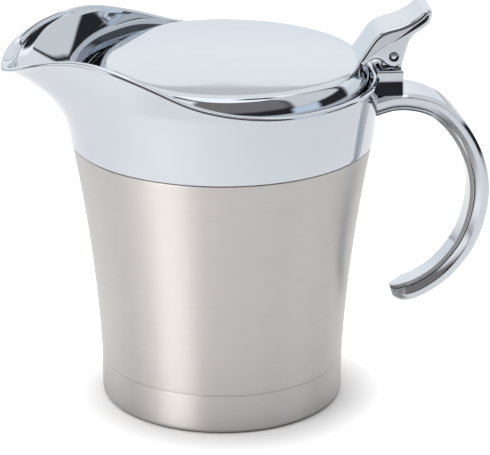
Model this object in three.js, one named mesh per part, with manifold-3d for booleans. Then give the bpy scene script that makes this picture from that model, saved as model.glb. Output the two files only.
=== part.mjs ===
// Insulated gravy boat: a double-wall steel cup under a chromed pouring collar,
// with a hooked handle and a hinged lid that opens with a thumb lever.
// Millimetres, +Z up. The origin is the centre of the base, on the table.
// The spout points along -X and the handle along +X.

import * as THREE from 'three';
import { mergeVertices } from 'three/addons/utils/BufferGeometryUtils.js';
import Module from 'manifold-3d';

// ---------- driving dimensions ----------

const gap = 0.3;                  // clearance between neighbouring pieces
const turnSteps = 48;             // facets round the vessel

// steel body
const baseRadius = 44;
const baseEdge = 2;               // rounding under the base
const bandHeight = 14.4;          // top of the plain band at the base
const seamHeight = 96.3;          // where the steel stops and the collar starts
const seamRadius = 53.7;
const flareLinear = 0.42;         // straight share of the flare, the rest is curved
const steelWall = 0.8;
const bandLap = 5;                // how far the shell reaches down inside the base cup
const footGrooveRadius = 35;      // pressed ring under the base
const footGrooveWidth = 3;
const footGrooveDepth = 0.6;

// liner, and the ring stack that holds it in the collar
const linerInset = 6.1;           // liner outside, inwards from the body outside
const linerFloor = 8;             // top of the liner's floor
const linerCorner = 9;
const linerTop = seamHeight - 2.2;
const gasketHeight = 1.8;
const gasketLip = 1;              // the gasket's bore is this much wider than the throat
const lockRingHeight = 3.6;

// collar
const collarSwell = 0.3;          // collar stands proud of the steel at the seam
const rimRadius = seamRadius + 2.3;
const rimHeight = seamHeight + 24;
const rimWall = 2.6;
const beadRound = 1.2;            // rounding of the rim
const skirtDepth = 7.3;           // plug of the collar inside the shell
const skirtWall = 2;
const ledgeThickness = 2;
const seatHeight = rimHeight - 3.7;   // top of the cone under the lid's edge
const seatDrop = 2.3;
const seatStep = 1.5;
const spoutFlow = 2.7;            // how late the spout leaves the round body

// rim round the spout: plan angle from the spout's middle in degrees,
// reach beyond the round rim, and rise above it
const rimStations = [
  [0, 22.2, 5.3],
  [11, 20.8, 8.2],
  [21, 14.9, 12.9],
  [31, 8.1, 15.4],
  [42, 4.2, 15.1],
  [58, 0.6, 10.8],
  [78, 0.4, 4.4],
  [100, 0.6, 1.0],
  [125, 0, 0],
  [180, 0, 0],
];

// hinge
const pinX = rimRadius + 3.8;
const pinZ = rimHeight + 7.3;
const pinRadius = 1.15;
const postDepth = 3.7;            // from the pin's axis to the post's flat face
const postTop = pinZ - 5.2;
const postFace = 4.2;             // height of the flat face above the cove
const postFoot = rimHeight - 6.1;
const postHalfWidth = 10.2;
const postFootSpread = 1;
const knuckleHalfWidth = 6;
const knuckleRadius = 3.6;

// lid
const lidInset = 1;               // between the lid's edge and the rim's inner wall
const lidRadius = rimRadius - rimWall - lidInset;
const lidFront = lidRadius - 8.1; // the front edge leaves the spout open
const lidDrawnIn = 28;            // degrees from the spout's middle where it widens again
const lidRoundAgain = 86;
const lidEdgeTop = rimHeight + 0.3;
const lidEdgeFoot = rimHeight - 2.1;
const lidWall = 2;
const lidPlateThickness = 1.2;

// dome of the lid: share of the way to its edge, and height above the rim
const domeStations = [
  [0, 8.7],
  [0.25, 8.5],
  [0.5, 7.9],
  [0.7, 7.15],
  [0.85, 6.45],
  [0.92, 6],
  [0.945, 5.4],
  [0.967, 3.7],
  [0.983, 1.9],
];

// thumb lever
const leverHalfWidth = 10.2;
const leverFootSpread = 0.6;
const leverRoof = 2.4;            // skin over the knuckle pocket
const bossRadius = 4;
const padReach = 10.2;            // centre of the pad's round end, beyond the pin
const padBulge = 4;

// Side outline of the lever from the pin: up over the top, round the thumb pad, and back.
const leverOutline = [
  [-14.8, -5.7],
  [-13.2, -2.6],
  [-9.8, 2.5],
  [-7, 6.6],
  [-4.7, 8.7],
  [-1.9, 9.9],
  [2.6, 11.1],
  [6.2, 12.7],
  [8.8, 14.5],
  [10.6, 16.2],
  [12, 16.7],
  [13.3, 16],
  [13.9, 14.2],
  [13, 12],
  [10.4, 9.7],
  [7.5, 7.8],
  [5.7, 5.6],
  [4.9, 3],
];

// Underside of the cheeks from the pin, from the boss to the lid's dome.
const cheekUnderside = [
  [-3.6, -2.3],
  [-5.2, -1.2],
  [-7.2, -1.1],
  [-9.4, -2.3],
  [-10.2, -4.6],
  [-10.2, -5.7],
];

// handle
const handleSplit = 5.1;          // depth of the outer shell, down to the parting line
const handleDepthRoot = 7.2;
const handleDepthTip = 6.4;
const handleRootHalfWidth = 10.5;
const handleHalfWidth = 8.1;
const handleTipHalfWidth = 7.4;
const handleNarrows = 0.32;       // share of the length over which the root narrows
const handleTipRound = 8.5;       // length of the rounded tip
const tipTaper = 0.93;            // how far the tip draws in sideways
const tipThinning = 0.3;
const handleWall = 1.8;
const handleBevel = 1.3;
const handleCoverRound = 2.4;
const handleTongue = 1.5;         // how far the cover reaches up inside the shell
const handleSteps = 30;
const handlePlug = 0.07;          // share of the length that is solid at the root
const handleTipPlug = 0.9;

// outer edge of the handle, outwards from the rim's radius and up from its height,
// from inside the collar to the free tip
const handleSpine = [
  [-5, -9.2],
  [4, -6.8],
  [13, -7.3],
  [23, -11.3],
  [33.4, -22.8],
  [39.5, -37.8],
  [39.9, -51.8],
  [35.4, -66.8],
  [26.4, -78.8],
  [16.2, -85.6],
  [7, -88.2],
];

// handle screws
const screwZ = rimHeight - 10.6;
const screwY = 5;
const screwRadius = 1.5;
const screwLength = 8;
const screwHeadRadius = 2.5;
const screwHeadHeight = 1.6;

// ---------- small helpers ----------

const lerp = THREE.MathUtils.lerp;
const smooth = THREE.MathUtils.smoothstep;
const rad = THREE.MathUtils.degToRad;

const wasm = await Module();
wasm.setup();

function bodyRadius(z) {
  const t = (z - bandHeight) / (seamHeight - bandHeight);
  return baseRadius + (seamRadius - baseRadius) * (flareLinear * t + (1 - flareLinear) * t * t);
}

// Outside of the flange, gasket and lock ring: they fit inside the collar's skirt.
const stackRadius = bodyRadius(seamHeight - skirtDepth) - steelWall - skirtWall - 2 * gap;

// Mouth of the liner seen from above.
const throatRadius = bodyRadius(linerTop) - linerInset - steelWall;

// Outside of the collar where it is round, a shallow curve from the seam to the rim.
function collarRadius(z) {
  const height = rimHeight - seamHeight;
  const t = THREE.MathUtils.clamp((z - seamHeight) / height, 0, 1);
  return lerp(seamRadius + collarSwell, rimRadius, t * (1.35 - 0.35 * t));
}

function geometryFrom(positions, index) {
  const geometry = new THREE.BufferGeometry();
  geometry.setAttribute('position', new THREE.Float32BufferAttribute(positions, 3));
  geometry.setIndex(index);
  return facingOut(geometry);
}

// Turns every triangle over where the surface encloses a negative volume.
function facingOut(geometry) {
  const place = geometry.getAttribute('position');
  const index = Array.from(geometry.index.array);
  const corners = [new THREE.Vector3(), new THREE.Vector3(), new THREE.Vector3()];
  let volume = 0;
  for (let i = 0; i < index.length; i += 3) {
    corners.forEach((corner, k) => corner.fromBufferAttribute(place, index[i + k]));
    volume += corners[0].dot(corners[1].cross(corners[2]));
  }
  if (volume < 0) {
    for (let i = 0; i < index.length; i += 3) {
      const second = index[i + 1];
      index[i + 1] = index[i + 2];
      index[i + 2] = second;
    }
  }
  geometry.setIndex(index);
  return geometry;
}

// Surface round the Z axis. profileAt(angle) gives [radius, z] pairs, as many at every
// angle; the angle is measured from -X. An open profile starts and ends on the axis.
function spun(profileAt, closed) {
  const positions = [];
  const index = [];
  const count = profileAt(0).length;
  for (let i = 0; i < turnSteps; i++) {
    const angle = i / turnSteps * Math.PI * 2;
    for (const [radius, z] of profileAt(angle)) {
      positions.push(-radius * Math.cos(angle), radius * Math.sin(angle), z);
    }
  }
  const last = closed ? count : count - 1;
  for (let i = 0; i < turnSteps; i++) {
    const here = i * count;
    const next = (i + 1) % turnSteps * count;
    for (let j = 0; j < last; j++) {
      const k = (j + 1) % count;
      if (closed || j > 0) index.push(here + j, next + j, next + k);
      if (closed || j < count - 2) index.push(here + j, next + k, here + k);
    }
  }
  const merged = mergeVertices(geometryFrom(positions, index), 1e-4);
  return facingOut(merged);
}

// A turned piece: the same profile all the way round.
const turned = (profile, closed = true) => spun(() => profile, closed);

// A solid through a row of flat sections, each a loop of Vector3, with flat ends.
function lofted(sections, flatOutline) {
  const count = sections[0].length;
  const positions = sections.flat().flatMap((point) => point.toArray());
  const index = [];
  for (let i = 0; i < sections.length - 1; i++) {
    for (let j = 0; j < count; j++) {
      const a = i * count + j;
      const b = i * count + (j + 1) % count;
      index.push(a, b, b + count, a, b + count, a + count);
    }
  }
  const end = (sections.length - 1) * count;
  for (const [a, b, c] of THREE.ShapeUtils.triangulateShape(flatOutline, [])) {
    index.push(c, b, a, end + a, end + b, end + c);
  }
  return geometryFrom(positions, index);
}

function solidOf(geometry) {
  const bare = geometry.clone();
  bare.deleteAttribute('normal');
  bare.deleteAttribute('uv');
  const merged = mergeVertices(bare, 1e-4);
  return new wasm.Manifold(new wasm.Mesh({
    numProp: 3,
    vertProperties: new Float32Array(merged.getAttribute('position').array),
    triVerts: new Uint32Array(merged.index.array),
  }));
}

function geometryOf(solid) {
  const mesh = solid.getMesh();
  return geometryFrom(Array.from(mesh.vertProperties), Array.from(mesh.triVerts));
}

// Flat outline in X and Z, made into a plate between two values of Y.
function plateXZ(outline, fromY, toY) {
  const shape = new THREE.Shape(outline.map(([x, z]) => new THREE.Vector2(x, z)));
  const plate = new THREE.ExtrudeGeometry(shape, { depth: toY - fromY, bevelEnabled: false });
  plate.rotateX(Math.PI / 2);
  plate.translate(0, toY, 0);
  return solidOf(indexed(plate));
}

// Flat outline in X and Y, made into a block between two heights.
function blockXY(outline, fromZ, toZ) {
  const shape = new THREE.Shape(outline.map(([x, y]) => new THREE.Vector2(x, y)));
  const block = new THREE.ExtrudeGeometry(shape, { depth: toZ - fromZ, bevelEnabled: false });
  block.translate(0, 0, fromZ);
  return solidOf(indexed(block));
}

function indexed(geometry) {
  geometry.deleteAttribute('normal');
  geometry.deleteAttribute('uv');
  return mergeVertices(geometry, 1e-4);
}

// Round bar along Y through the hinge axis, or along X for the screws.
function barY(radius, fromY, toY, x, z) {
  const bar = new THREE.CylinderGeometry(radius, radius, toY - fromY, 20);
  bar.translate(x, (fromY + toY) / 2, z);
  return solidOf(indexed(bar));
}

function barX(radius, fromX, toX, y, z) {
  const bar = new THREE.CylinderGeometry(radius, radius, toX - fromX, 16);
  bar.rotateZ(Math.PI / 2);
  bar.translate((fromX + toX) / 2, y, z);
  return solidOf(indexed(bar));
}

function arc(centreX, centreZ, radius, fromDegrees, toDegrees, steps) {
  const points = [];
  for (let i = 0; i <= steps; i++) {
    const angle = rad(lerp(fromDegrees, toDegrees, i / steps));
    points.push([centreX + radius * Math.cos(angle), centreZ + radius * Math.sin(angle)]);
  }
  return points;
}

// ---------- materials ----------

function finish(color, roughness, metalness) {
  return new THREE.MeshStandardMaterial({ color, roughness, metalness });
}

const brushedSteel = () => finish(0xc3bfb9, 0.38, 1);
const polishedSteel = () => finish(0xcfd0d2, 0.2, 1);
const chrome = () => finish(0xd7dde4, 0.06, 1);
const silicone = () => finish(0x8f9396, 0.75, 0);
const darkPlastic = () => finish(0x2c2d30, 0.6, 0);

const boat = new THREE.Group();

function add(name, geometry, material) {
  const mesh = new THREE.Mesh(geometry, material);
  mesh.name = name;
  boat.add(mesh);
}

// ---------- steel body ----------

function baseCup() {
  const inner = baseRadius - steelWall;
  const grooveIn = footGrooveRadius - footGrooveWidth / 2;
  const grooveOut = footGrooveRadius + footGrooveWidth / 2;
  const edge = baseRadius - baseEdge;
  const profile = [
    [0, 0],
    [grooveIn - footGrooveDepth, 0],
    [grooveIn, footGrooveDepth],
    [grooveOut, footGrooveDepth],
    [grooveOut + footGrooveDepth, 0],
    ...arc(edge, baseEdge, baseEdge, -90, 0, 3),
    [baseRadius, bandHeight - gap],
    [inner, bandHeight - gap],
    [inner, baseEdge],
    [edge, steelWall],
    [grooveOut + footGrooveDepth, steelWall],
    [grooveOut, footGrooveDepth + steelWall],
    [grooveIn, footGrooveDepth + steelWall],
    [grooveIn - footGrooveDepth, steelWall],
    [0, steelWall],
  ];
  return turned(profile, false);
}

function outerShell() {
  const neck = baseRadius - steelWall - gap;
  const heights = [0, 0.2, 0.4, 0.6, 0.8, 1].map((t) => lerp(bandHeight, seamHeight, t));
  const outside = heights.map((z) => [bodyRadius(z), z]);
  const inside = heights.slice(1).reverse().map((z) => [bodyRadius(z) - steelWall, z]);
  const profile = [
    [neck, bandHeight - bandLap],
    [neck, bandHeight],
    ...outside,
    ...inside,
    [neck - steelWall, bandHeight + steelWall],
    [neck - steelWall, bandHeight - bandLap],
  ];
  return turned(profile);
}

function innerLiner() {
  const outside = (z) => bodyRadius(z) - linerInset;
  const cornerZ = linerFloor + linerCorner;
  const cornerX = outside(cornerZ) - steelWall - linerCorner;
  const heights = [0.25, 0.5, 0.75].map((t) => lerp(cornerZ, linerTop - steelWall, t));
  const flangeFoot = linerTop - steelWall;
  const profile = [
    [0, linerFloor - steelWall],
    ...arc(cornerX, cornerZ, linerCorner + steelWall, -90, 0, 4),
    ...heights.map((z) => [outside(z), z]),
    [outside(flangeFoot), flangeFoot],
    [stackRadius, flangeFoot],
    [stackRadius, linerTop],
    [outside(linerTop) - steelWall, linerTop],
    ...heights.reverse().map((z) => [outside(z) - steelWall, z]),
    ...arc(cornerX, cornerZ, linerCorner, 0, -90, 4),
    [0, linerFloor],
  ];
  return turned(profile, false);
}

function linerGasket() {
  const foot = linerTop + gap;
  const top = foot + gasketHeight;
  return turned([
    [throatRadius + gasketLip, foot],
    [stackRadius, foot],
    [stackRadius, top],
    [throatRadius + gasketLip, top],
  ]);
}

function lockRing() {
  const top = linerTop - steelWall - gap;
  const foot = top - lockRingHeight;
  const bore = bodyRadius(top) - linerInset + gap;
  return turned([
    [bore, foot],
    [stackRadius, foot],
    [stackRadius, top],
    [bore, top],
  ]);
}

// ---------- collar with its spout and hinge post ----------

const reachCurve = rimCurve(1);
const riseCurve = rimCurve(2);

// A smooth curve through one column of the rim's stations, level at both ends.
function rimCurve(column) {
  const points = rimStations.map((station) => new THREE.Vector2(station[0], station[column]));
  return (degrees) => {
    let i = 0;
    while (i < points.length - 2 && degrees > points[i + 1].x) i++;
    const a = points[i];
    const b = points[i + 1];
    const slope = (k) => {
      if (k <= 0 || k >= points.length - 1) return 0;
      const before = points[k - 1];
      const after = points[k + 1];
      return (after.y - before.y) / (after.x - before.x);
    };
    const span = b.x - a.x;
    const t = (degrees - a.x) / span;
    const rest = 1 - t;
    return a.y * rest * rest * (1 + 2 * t) + slope(i) * span * t * rest * rest
      + b.y * t * t * (3 - 2 * t) - slope(i + 1) * span * t * t * rest;
  };
}

function fromSpout(angle) {
  const degrees = THREE.MathUtils.radToDeg(angle) % 360;
  return degrees > 180 ? 360 - degrees : degrees;
}

// Outside of the collar at a plan angle and a share of its height.
function collarPoint(angle, share) {
  const degrees = fromSpout(angle);
  const foot = seamHeight + gap;
  const top = rimHeight + riseCurve(degrees);
  const z = lerp(foot, top, share);
  return [collarRadius(z) + reachCurve(degrees) * share ** spoutFlow, z];
}

const skirtFoot = seamHeight - skirtDepth;
const ledgeFoot = linerTop + gap + gasketHeight + gap;

function collarProfile(angle) {
  const degrees = fromSpout(angle);
  const inSpout = 1 - smooth(degrees, 45, 75);
  const top = rimHeight + riseCurve(degrees);
  const rim = collarPoint(angle, 1)[0];
  const outerShares = [0, 0.14, 0.28, 0.42, 0.55, 0.67, 0.78, 0.88];
  const innerShares = [0.88, 0.78, 0.67, 0.55, 0.42, 0.28];
  const skirtOut = (z) => bodyRadius(z) - steelWall - gap;
  const inner = innerShares.map((share) => {
    const [radius, z] = collarPoint(angle, share);
    const below = 1 - smooth(z, seatHeight - seatDrop, seatHeight);
    return [radius - rimWall - seatStep * below * (1 - inSpout), z];
  });
  return [
    ...outerShares.map((share) => collarPoint(angle, share)),
    [rim, top - beadRound],
    [rim - 0.4 * beadRound, top - 0.3 * beadRound],
    [rim - rimWall / 2, top],
    [rim - rimWall + 0.4 * beadRound, top - 0.3 * beadRound],
    [rim - rimWall, top - beadRound],
    ...inner,
    [lerp(throatRadius, inner.at(-1)[0], 0.7), ledgeFoot + ledgeThickness + 0.8],
    [throatRadius, ledgeFoot + ledgeThickness],
    [throatRadius, ledgeFoot],
    [stackRadius + gap, ledgeFoot],
    [stackRadius + gap, skirtFoot],
    [skirtOut(skirtFoot), skirtFoot],
    [skirtOut(seamHeight), seamHeight + gap],
  ];
}

function hingePost() {
  const front = rimRadius - rimWall;
  const back = pinX + postDepth;
  const widths = [
    [postFoot, postHalfWidth + postFootSpread],
    [lerp(postFoot, postTop - postFace, 0.36), postHalfWidth + 0.27 * postFootSpread],
    [postTop - postFace, postHalfWidth],
    [postTop, postHalfWidth],
  ];
  const sections = widths.map(([z, half]) => [
    new THREE.Vector3(front, -half, z),
    new THREE.Vector3(back, -half, z),
    new THREE.Vector3(back, half, z),
    new THREE.Vector3(front, half, z),
  ]);
  const outline = sections[0].map((point) => new THREE.Vector2(point.x, point.y));
  const block = solidOf(lofted(sections, outline));
  const knuckle = plateXZ([
    [pinX - knuckleRadius, postTop - 1],
    [pinX + knuckleRadius, postTop - 1],
    ...arc(pinX, pinZ, knuckleRadius, 0, 180, 10),
  ], -knuckleHalfWidth, knuckleHalfWidth);
  return block.add(knuckle);
}

// The screw heads sit sunk in the collar's inner wall.
const screwHeadX = Math.sqrt((collarRadius(screwZ) - rimWall - seatStep) ** 2 - screwY ** 2) + 0.4;

function screwHole(y) {
  const start = screwHeadX - 5;
  const headBack = screwHeadX + screwHeadHeight + gap;
  const shank = barX(screwRadius + gap, start, screwHeadX + screwLength + 2, y, screwZ);
  return barX(screwHeadRadius + gap, start, headBack, y, screwZ).add(shank);
}

function collar() {
  const ring = solidOf(spun(collarProfile, true));
  const bore = barY(pinRadius + gap, -postHalfWidth, postHalfWidth, pinX, pinZ);
  const holes = screwHole(screwY).add(screwHole(-screwY));
  return geometryOf(ring.add(hingePost()).subtract(bore).subtract(holes));
}

// Everything inside the collar's outer skin, with clearance, to trim the handle's root.
function collarEnvelope() {
  const heights = [0, 0.25, 0.42, 0.58, 0.74, 0.9].map((t) => lerp(seamHeight, rimHeight, t));
  const profile = heights.map((z) => [collarRadius(z) + gap, z]);
  const foot = heights[0];
  const top = heights.at(-1);
  return solidOf(turned([[0, foot], ...profile, [0, top]], false));
}

// ---------- handle ----------

const spine = new THREE.CatmullRomCurve3(
  handleSpine.map(([x, z]) => new THREE.Vector3(rimRadius + x, 0, rimHeight + z)),
  false,
  'centripetal',
);
const spineLength = spine.getLength();

function handleHalfWidthAt(share) {
  const narrowing = smooth(share, 0, handleNarrows);
  const straight = lerp(handleRootHalfWidth, handleHalfWidth, narrowing);
  const half = lerp(straight, handleTipHalfWidth, smooth(share, 0.5, 1));
  const intoTip = Math.max(0, (share - 1) * spineLength + handleTipRound) / handleTipRound;
  return half * Math.sqrt(1 - tipTaper * intoTip * intoTip);
}

function handleDepthAt(share) {
  const depth = lerp(handleDepthRoot, handleDepthTip, smooth(share, 0.1, 0.95));
  const intoTip = Math.max(0, (share - 1) * spineLength + handleTipRound) / handleTipRound;
  return depth * (1 - tipThinning * intoTip * intoTip);
}

// Depth of the parting line, with some of the cover's thickness always left below it.
function partingAt(share) {
  return Math.min(handleSplit, handleDepthAt(share) - 1.1);
}

// Sweeps sectionAt(share), a loop of [side, depth] pairs, along a stretch of the spine.
function swept(sectionAt, fromShare, toShare) {
  const steps = Math.ceil(handleSteps * (toShare - fromShare));
  const sections = [];
  for (let i = 0; i <= steps; i++) {
    const share = lerp(fromShare, toShare, i / steps);
    const point = spine.getPointAt(share);
    const along = spine.getTangentAt(share);
    const outwards = new THREE.Vector3(-along.z, 0, along.x);
    sections.push(sectionAt(share).map(([side, depth]) => new THREE.Vector3(
      point.x - outwards.x * depth, side, point.z - outwards.z * depth)));
  }
  const outline = sectionAt(fromShare).map(([side, depth]) => new THREE.Vector2(side, depth));
  return solidOf(lofted(sections, outline));
}

function handleShell() {
  const skin = swept((share) => {
    const half = handleHalfWidthAt(share);
    const bevel = Math.min(handleBevel, half / 3);
    const split = partingAt(share);
    return [
      [-half, split],
      [-half, bevel],
      [bevel - half, 0],
      [half - bevel, 0],
      [half, bevel],
      [half, split],
    ];
  }, 0, 1);
  const channel = swept((share) => {
    const half = handleHalfWidthAt(share) - handleWall;
    const foot = handleSplit + 1;
    return [[-half, foot], [-half, handleWall], [half, handleWall], [half, foot]];
  }, handlePlug, handleTipPlug);
  const holes = screwHole(screwY).add(screwHole(-screwY));
  return geometryOf(skin.subtract(channel).subtract(collarEnvelope()).subtract(holes));
}

function handleCover() {
  const strip = swept((share) => {
    const half = handleHalfWidthAt(share);
    const depth = handleDepthAt(share);
    const split = partingAt(share) + gap;
    const round = Math.min(handleCoverRound, half / 2);
    const edge = lerp(split, depth, 0.3);
    const shoulder = lerp(edge, depth, 0.7);
    return [
      [-half, split],
      [half, split],
      [half, edge],
      [half - 0.35 * round, shoulder],
      [half - round, depth],
      [round - half, depth],
      [0.35 * round - half, shoulder],
      [-half, edge],
    ];
  }, 0, 1);
  const tongue = swept((share) => {
    const half = handleHalfWidthAt(share) - handleWall - gap;
    const top = handleSplit - handleTongue;
    const foot = handleSplit + 1;
    return [[-half, top], [half, top], [half, foot], [-half, foot]];
  }, handlePlug + 0.01, handleTipPlug - 0.01);
  return geometryOf(strip.add(tongue).subtract(collarEnvelope()));
}

function handleScrew(y) {
  const head = barX(screwHeadRadius, screwHeadX, screwHeadX + screwHeadHeight, y, screwZ);
  const shank = barX(screwRadius, screwHeadX + 0.5, screwHeadX + screwLength, y, screwZ);
  const slot = blockXY([
    [screwHeadX - 1, y - 0.4], [screwHeadX + 0.7, y - 0.4],
    [screwHeadX + 0.7, y + 0.4], [screwHeadX - 1, y + 0.4],
  ], screwZ - screwHeadRadius - 1, screwZ + screwHeadRadius + 1);
  return geometryOf(head.add(shank).subtract(slot));
}

// ---------- lid with its thumb lever ----------

// Plan outline of the lid: round at the back, drawn in at the front.
function lidEdge(angle) {
  return lerp(lidFront, lidRadius, smooth(fromSpout(angle), lidDrawnIn, lidRoundAgain));
}

function lidProfile(angle) {
  const edge = lidEdge(angle);
  const dome = domeStations.map(([share, rise]) => [share * edge, rimHeight + rise]);
  const inner = dome.filter(([radius]) => radius < edge - lidWall - 1);
  return [
    ...dome,
    [edge, lidEdgeTop],
    [edge, lidEdgeFoot],
    [edge - lidWall, lidEdgeFoot],
    [edge - lidWall, lidEdgeTop],
    ...inner.reverse().map(([radius, z]) => [radius, z - lidWall]),
  ];
}

const fromPin = ([x, z]) => [pinX + x, pinZ + z];

function thumbLever() {
  const boss = arc(pinX, pinZ, bossRadius, 10, -130, 8);
  const outline = [...leverOutline.map(fromPin), ...boss, ...cheekUnderside.map(fromPin)];
  const wide = leverHalfWidth + leverFootSpread;
  const side = plateXZ(outline, -wide, wide);
  const plan = blockXY([
    [pinX - 16, -wide],
    [pinX - 13.3, -wide],
    [pinX - 10.8, -leverHalfWidth - leverFootSpread / 3],
    [pinX - 6.8, -leverHalfWidth],
    ...padEnd(),
    [pinX - 6.8, leverHalfWidth],
    [pinX - 10.8, leverHalfWidth + leverFootSpread / 3],
    [pinX - 13.3, wide],
    [pinX - 16, wide],
  ], pinZ - 12, pinZ + 20);
  return side.intersect(plan).subtract(knucklePocket());
}

// Rounded end of the thumb pad in plan.
function padEnd() {
  const points = [];
  for (let i = 0; i <= 8; i++) {
    const angle = rad(lerp(-90, 90, i / 8));
    const x = pinX + padReach + padBulge * Math.cos(angle);
    points.push([x, leverHalfWidth * Math.sin(angle)]);
  }
  return points;
}

// Room under the lever for the collar's knuckle, open below and behind.
function knucklePocket() {
  const front = pinX - knuckleRadius - 0.8;
  const back = pinX + knuckleRadius + 1.2;
  const half = knuckleHalfWidth + 0.4;
  return plateXZ([
    [front, pinZ - 9],
    [pinX + 15, pinZ - 9],
    [pinX + 15, pinZ + 4.6],
    [back, pinZ + 4.6],
    [pinX + 1, pinZ + 9.4 - leverRoof],
    [pinX - 3, pinZ + 8.2 - leverRoof],
    [front, pinZ + 6.8 - leverRoof],
  ], -half, half);
}

function lidCover() {
  const dome = solidOf(spun(lidProfile, false));
  const boreHalf = leverHalfWidth + leverFootSpread + 1;
  const bore = barY(pinRadius + gap, -boreHalf, boreHalf, pinX, pinZ);
  const hollow = solidOf(spun((angle) => {
    const edge = lidEdge(angle) - lidWall;
    const foot = lidEdgeFoot - 5;
    return [[0, foot], [edge, foot], [edge, lidEdgeTop], [0, lidEdgeTop]];
  }, false));
  return geometryOf(dome.add(thumbLever().subtract(hollow)).subtract(bore));
}

function lidPlate() {
  const inset = lidWall + gap;
  const foot = lidEdgeFoot + gap;
  const top = foot + lidPlateThickness;
  return spun((angle) => {
    const edge = lidEdge(angle) - inset;
    return [[0, foot], [edge, foot], [edge, top], [0, top]];
  }, false);
}

function hingePin() {
  const end = leverHalfWidth - 0.2;
  const pin = new THREE.LatheGeometry([
    new THREE.Vector2(0, -end),
    new THREE.Vector2(pinRadius - 0.2, -end),
    new THREE.Vector2(pinRadius, 0.2 - end),
    new THREE.Vector2(pinRadius, end - 0.2),
    new THREE.Vector2(pinRadius - 0.2, end),
    new THREE.Vector2(0, end),
  ], 20);
  pin.translate(pinX, 0, pinZ);
  return geometryOf(solidOf(indexed(pin)));
}

// ---------- assembly ----------

add('base_cup', baseCup(), brushedSteel());
add('outer_shell', outerShell(), brushedSteel());
add('inner_liner', innerLiner(), polishedSteel());
add('liner_gasket', linerGasket(), silicone());
add('lock_ring', lockRing(), darkPlastic());
add('collar', collar(), chrome());
add('handle_shell', handleShell(), chrome());
add('handle_cover', handleCover(), chrome());
add('handle_screw_1', handleScrew(screwY), polishedSteel());
add('handle_screw_2', handleScrew(-screwY), polishedSteel());
add('lid_cover', lidCover(), chrome());
add('lid_plate', lidPlate(), polishedSteel());
add('hinge_pin', hingePin(), polishedSteel());

export default boat;
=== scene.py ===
import bpy
import bmesh
import math
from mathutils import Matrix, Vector


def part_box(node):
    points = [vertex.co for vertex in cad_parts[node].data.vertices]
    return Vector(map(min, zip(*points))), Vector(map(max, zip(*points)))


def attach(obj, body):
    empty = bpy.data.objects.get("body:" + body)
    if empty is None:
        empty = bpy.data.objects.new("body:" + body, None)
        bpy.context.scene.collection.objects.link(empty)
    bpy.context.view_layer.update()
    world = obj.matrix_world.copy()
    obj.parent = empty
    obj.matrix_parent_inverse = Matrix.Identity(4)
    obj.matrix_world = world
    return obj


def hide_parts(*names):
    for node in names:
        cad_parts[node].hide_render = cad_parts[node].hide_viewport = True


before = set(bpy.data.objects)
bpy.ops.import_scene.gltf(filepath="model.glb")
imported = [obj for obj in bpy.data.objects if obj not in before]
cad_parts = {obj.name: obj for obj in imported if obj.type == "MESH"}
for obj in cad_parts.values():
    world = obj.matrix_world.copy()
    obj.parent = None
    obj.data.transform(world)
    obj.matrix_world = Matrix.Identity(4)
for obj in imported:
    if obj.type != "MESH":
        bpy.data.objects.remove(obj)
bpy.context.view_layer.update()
print("frame loaded")

mm = 0.001


def boxMm(node):
    low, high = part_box(node)
    return [v / mm for v in low], [v / mm for v in high]


def lerp(a, b, t):
    return a + (b - a) * t


def softStep(value, start, end):
    t = min(1.0, max(0.0, (value - start) / (end - start)))
    return t * t * t * (t * (6 * t - 15) + 10)


# Rounds off a row of numbers; the two ends mirror themselves.
def evenedOut(values, spread):
    reach = int(spread * 3) + 1
    weights = [math.exp(-0.5 * (k / spread) ** 2) for k in range(-reach, reach + 1)]
    last = len(values) - 1
    result = []
    for i in range(len(values)):
        total = 0.0
        for k in range(-reach, reach + 1):
            j = abs(i + k)
            if j > last:
                j = 2 * last - j
            total += values[j] * weights[k + reach]
        result.append(total / sum(weights))
    return result


# A smooth line through points, resampled to equal steps.
def lineThrough(points, count, closed=False):
    pts = [Vector(p) for p in points]
    if closed:
        pts = [pts[-1]] + pts + [pts[0], pts[1]]
    else:
        pts = [pts[0] * 2 - pts[1]] + pts + [pts[-1] * 2 - pts[-2]]
    fine = []
    for i in range(1, len(pts) - 2):
        p0, p1, p2, p3 = pts[i - 1:i + 3]
        t1 = max((p1 - p0).length, 1e-6) ** 0.5
        t2 = t1 + max((p2 - p1).length, 1e-6) ** 0.5
        t3 = t2 + max((p3 - p2).length, 1e-6) ** 0.5
        for k in range(24):
            t = lerp(t1, t2, k / 24)
            a1 = p0 * ((t1 - t) / t1) + p1 * (t / t1)
            a2 = p1 * ((t2 - t) / (t2 - t1)) + p2 * ((t - t1) / (t2 - t1))
            a3 = p2 * ((t3 - t) / (t3 - t2)) + p3 * ((t - t2) / (t3 - t2))
            b1 = a1 * ((t2 - t) / t2) + a2 * (t / t2)
            b2 = a2 * ((t3 - t) / (t3 - t1)) + a3 * ((t - t1) / (t3 - t1))
            fine.append(b1 * ((t2 - t) / (t2 - t1)) + b2 * ((t - t1) / (t2 - t1)))
    if not closed:
        fine.append(pts[-2])
    loop = fine + [fine[0]] if closed else fine
    lengths = [0.0]
    for a, b in zip(loop, loop[1:]):
        lengths.append(lengths[-1] + (b - a).length)
    total = lengths[-1]
    steps = count if closed else count - 1
    result = []
    j = 0
    for i in range(count):
        want = total * i / steps
        while j < len(lengths) - 2 and lengths[j + 1] < want:
            j += 1
        share = (want - lengths[j]) / max(lengths[j + 1] - lengths[j], 1e-9)
        result.append(loop[j].lerp(loop[j + 1], min(1.0, share)))
    return result


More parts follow.
